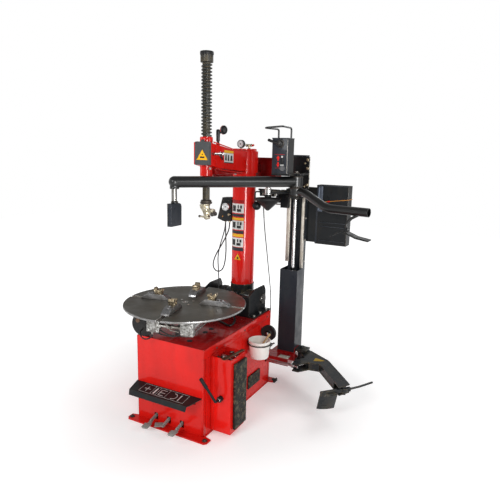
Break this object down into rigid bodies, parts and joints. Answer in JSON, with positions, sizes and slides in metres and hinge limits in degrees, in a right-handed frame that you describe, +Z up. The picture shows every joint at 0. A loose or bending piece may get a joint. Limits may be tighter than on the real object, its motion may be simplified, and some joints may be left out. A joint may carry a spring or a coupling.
{
  "type": "tire changer machine",
  "caption": "Garage tire changer: clamping turntable on a pressed cabinet, tilting column with a sprung tool spindle, bead breaker arm and a lifting helper mast with press arms.",
  "frame": {"origin": "centre of the rectangle of four floor anchor holes, on the floor under the cabinet", "axes": "+X to the operator's right towards the bead breaker, +Y to the back where the column stands, +Z up"},
  "size_m": [1.4077, 1.436, 2.27],
  "materials": {
    "red_paint": "gloss",
    "black_paint": "semi-gloss",
    "grey_paint": "semi-gloss",
    "bright_steel": "worn",
    "hard_chrome": "polished",
    "grey_iron": "rough",
    "cast_aluminium": "as cast",
    "yellow_brass": "turned",
    "black_rubber": "matt",
    "black_plastic": "moulded",
    "white_plastic": "moulded"
  },
  "bodies": {
    "root": {"base_plate": "red_paint", "cabinet_shell": "red_paint", "front_visor": "black_paint", "side_box": "black_paint", "bead_pads": "black_rubber", "paste_bucket": "white_plastic", "side_holders": "black_paint", "gearbox_housing": "grey_iron", "drive_motor": "cast_aluminium", "drive_belt": "black_rubber", "column_bracket": "black_paint", "frame_fasteners": "bright_steel", "tilt_cylinder": "cast_aluminium", "bead_cylinder": "cast_aluminium", "mast_frame": "red_paint", "mast": "black_paint", "lift_cylinder": "cast_aluminium", "rear_box": "black_paint", "supply_hose": "black_rubber", "air_line": "black_rubber"},
    "turntable": {"turntable_plate": "bright_steel", "turntable_shaft": "bright_steel", "clamp_cylinders": "cast_aluminium", "clamp_hose": "black_rubber"},
    "jaw_1": {"jaw_1": "bright_steel"},
    "jaw_2": {"jaw_2": "bright_steel"},
    "jaw_3": {"jaw_3": "bright_steel"},
    "jaw_4": {"jaw_4": "bright_steel"},
    "worm": {"worm_shaft": "bright_steel"},
    "motor_rotor": {"motor_pulley": "cast_aluminium"},
    "pedal_left": {"pedal_left": "bright_steel"},
    "pedal_middle": {"pedal_middle": "bright_steel"},
    "pedal_right": {"pedal_right": "bright_steel"},
    "column": {"column_tube": "red_paint", "column_arm": "red_paint", "lock_box": "grey_paint", "rear_tray": "red_paint", "gauge_box": "black_plastic", "pressure_gauges": "yellow_brass", "inflation_hose": "black_rubber", "return_spring": "bright_steel"},
    "tilt_ram": {"tilt_rod": "hard_chrome"},
    "spindle": {"hex_spindle": "bright_steel", "mount_head": "bright_steel"},
    "joystick": {"lock_joystick": "black_plastic"},
    "release_lever": {"release_lever": "black_plastic"},
    "side_lever": {"side_lever": "black_paint"},
    "bead_ram": {"bead_rod": "hard_chrome"},
    "bead_arm": {"bead_arm": "black_paint"},
    "bead_blade": {"bead_blade": "black_paint"},
    "carriage": {"carriage": "black_paint", "lift_rods": "hard_chrome", "control_box": "black_paint"},
    "main_arm": {"main_arm": "black_paint"},
    "presser": {"bead_presser": "black_rubber"},
    "cone_arm": {"cone_arm": "black_paint"},
    "press_cone": {"press_cone": "black_rubber"},
    "helper_arm": {"helper_arm": "black_paint"},
    "lifting_plate": {"lifting_plate": "black_paint"},
    "control_lever": {"control_lever": "black_plastic"}
  },
  "joints": [
    {"name": "turntable_spin", "type": "hinge", "parent": "root", "child": "turntable", "pos_m": [0, -0.276, 0.765], "axis": [0, 0, 1], "continuous": true},
    {"name": "jaw_1_slide", "type": "slide", "parent": "turntable", "child": "jaw_1", "axis": [0.9781, 0.2079, 0], "range_m": [-0.045, 0.14]},
    {"name": "jaw_2_slide", "type": "slide", "parent": "turntable", "child": "jaw_2", "axis": [-0.2079, 0.9781, 0], "range_m": [-0.045, 0.14]},
    {"name": "jaw_3_slide", "type": "slide", "parent": "turntable", "child": "jaw_3", "axis": [-0.9781, -0.2079, 0], "range_m": [-0.045, 0.14]},
    {"name": "jaw_4_slide", "type": "slide", "parent": "turntable", "child": "jaw_4", "axis": [0.2079, -0.9781, 0], "range_m": [-0.045, 0.14]},
    {"name": "worm_spin", "type": "hinge", "parent": "root", "child": "worm", "pos_m": [0, -0.18, 0.277], "axis": [1, 0, 0], "continuous": true},
    {"name": "motor_spin", "type": "hinge", "parent": "root", "child": "motor_rotor", "pos_m": [0, 0.04, 0.277], "axis": [1, 0, 0], "continuous": true},
    {"name": "pedal_left_press", "type": "hinge", "parent": "root", "child": "pedal_left", "pos_m": [-0.106, -0.33, 0.06], "axis": [1, 0, 0], "range_deg": [0, 6], "stiffness_Nm_per_rad": 30, "springref_deg": -8.59},
    {"name": "pedal_middle_press", "type": "hinge", "parent": "root", "child": "pedal_middle", "pos_m": [-0.008, -0.33, 0.06], "axis": [1, 0, 0], "range_deg": [0, 6], "stiffness_Nm_per_rad": 30, "springref_deg": -8.59},
    {"name": "pedal_right_press", "type": "hinge", "parent": "root", "child": "pedal_right", "pos_m": [0.09, -0.33, 0.06], "axis": [1, 0, 0], "range_deg": [0, 6], "stiffness_Nm_per_rad": 30, "springref_deg": -8.59},
    {"name": "column_tilt", "type": "hinge", "parent": "root", "child": "column", "pos_m": [0, 0.42, 0.64], "axis": [-1, 0, 0], "range_deg": [0, 25], "deforming": ["supply_hose", "air_line"]},
    {"name": "tilt_push", "type": "slide", "parent": "root", "child": "tilt_ram", "axis": [0, 1, 0], "range_m": [0, 0.0062]},
    {"name": "spindle_slide", "type": "slide", "parent": "column", "child": "spindle", "axis": [0, 0, 1], "range_m": [-0.33, 0], "stiffness_N_per_m": 800, "springref_m": 0.25, "deforming": ["return_spring"]},
    {"name": "joystick_tilt", "type": "hinge", "parent": "column", "child": "joystick", "pos_m": [0, 0.088, 1.727], "axis": [1, 0, 0], "range_deg": [-12, 12], "stiffness_Nm_per_rad": 2},
    {"name": "release_pull", "type": "hinge", "parent": "column", "child": "release_lever", "pos_m": [-0.019, 0.119, 1.72], "axis": [1, 0, 0], "range_deg": [-10, 10], "stiffness_Nm_per_rad": 2},
    {"name": "side_lever_turn", "type": "hinge", "parent": "root", "child": "side_lever", "pos_m": [0.319, -0.363, 0.244], "axis": [0, 1, 0], "range_deg": [-20, 20]},
    {"name": "bead_arm_swing", "type": "hinge", "parent": "root", "child": "bead_arm", "pos_m": [0.445, 0.6, 0.2], "axis": [0, 0, -1], "range_deg": [-12, 24]},
    {"name": "bead_ram_slide", "type": "slide", "parent": "root", "child": "bead_ram", "axis": [1, 0, 0], "range_m": [-0.09, 0.046]},
    {"name": "blade_turn", "type": "hinge", "parent": "bead_arm", "child": "bead_blade", "pos_m": [0.895, 0.205, 0.2], "axis": [0, 0, 1], "range_deg": [-14, 14]},
    {"name": "helper_lift", "type": "slide", "parent": "root", "child": "carriage", "axis": [0, 0, 1], "range_m": [-0.38, 0]},
    {"name": "main_arm_swing", "type": "hinge", "parent": "carriage", "child": "main_arm", "pos_m": [0.4, 0.46, 1.493], "axis": [0, 0, 1], "range_deg": [0, 35]},
    {"name": "presser_turn", "type": "hinge", "parent": "main_arm", "child": "presser", "pos_m": [-0.044, -0.32, 1.4], "axis": [0, 0, 1], "range_deg": [-45, 45]},
    {"name": "cone_arm_swing", "type": "hinge", "parent": "carriage", "child": "cone_arm", "pos_m": [0.33, 0.55, 1.41], "axis": [0, 0, 1], "range_deg": [0, 35]},
    {"name": "cone_spin", "type": "hinge", "parent": "cone_arm", "child": "press_cone", "pos_m": [0.205, 0.425, 1.4], "axis": [0, 0, 1], "continuous": true},
    {"name": "helper_arm_swing", "type": "hinge", "parent": "carriage", "child": "helper_arm", "pos_m": [0.4, 0.46, 1.424], "axis": [0, 0, 1], "range_deg": [-35, 40]},
    {"name": "plate_rock", "type": "hinge", "parent": "helper_arm", "child": "lifting_plate", "pos_m": [0.812, 0.315, 1.222], "axis": [0, 1, 0], "range_deg": [-15, 15]},
    {"name": "control_lever_turn", "type": "hinge", "parent": "carriage", "child": "control_lever", "pos_m": [0.341, 0.3, 1.742], "axis": [0, 1, 0], "range_deg": [-35, 35]}
  ],
  "couplings": [
    {"joint": "jaw_2_slide", "follows": "jaw_1_slide", "ratio": 1},
    {"joint": "jaw_3_slide", "follows": "jaw_1_slide", "ratio": 1},
    {"joint": "jaw_4_slide", "follows": "jaw_1_slide", "ratio": 1},
    {"joint": "worm_spin", "follows": "turntable_spin", "ratio": 20},
    {"joint": "motor_spin", "follows": "turntable_spin", "ratio": 40},
    {"joint": "tilt_push", "follows": "column_tilt", "m_per_rad": 0.014},
    {"joint": "bead_ram_slide", "follows": "bead_arm_swing", "m_per_rad": -0.212}
  ]
}
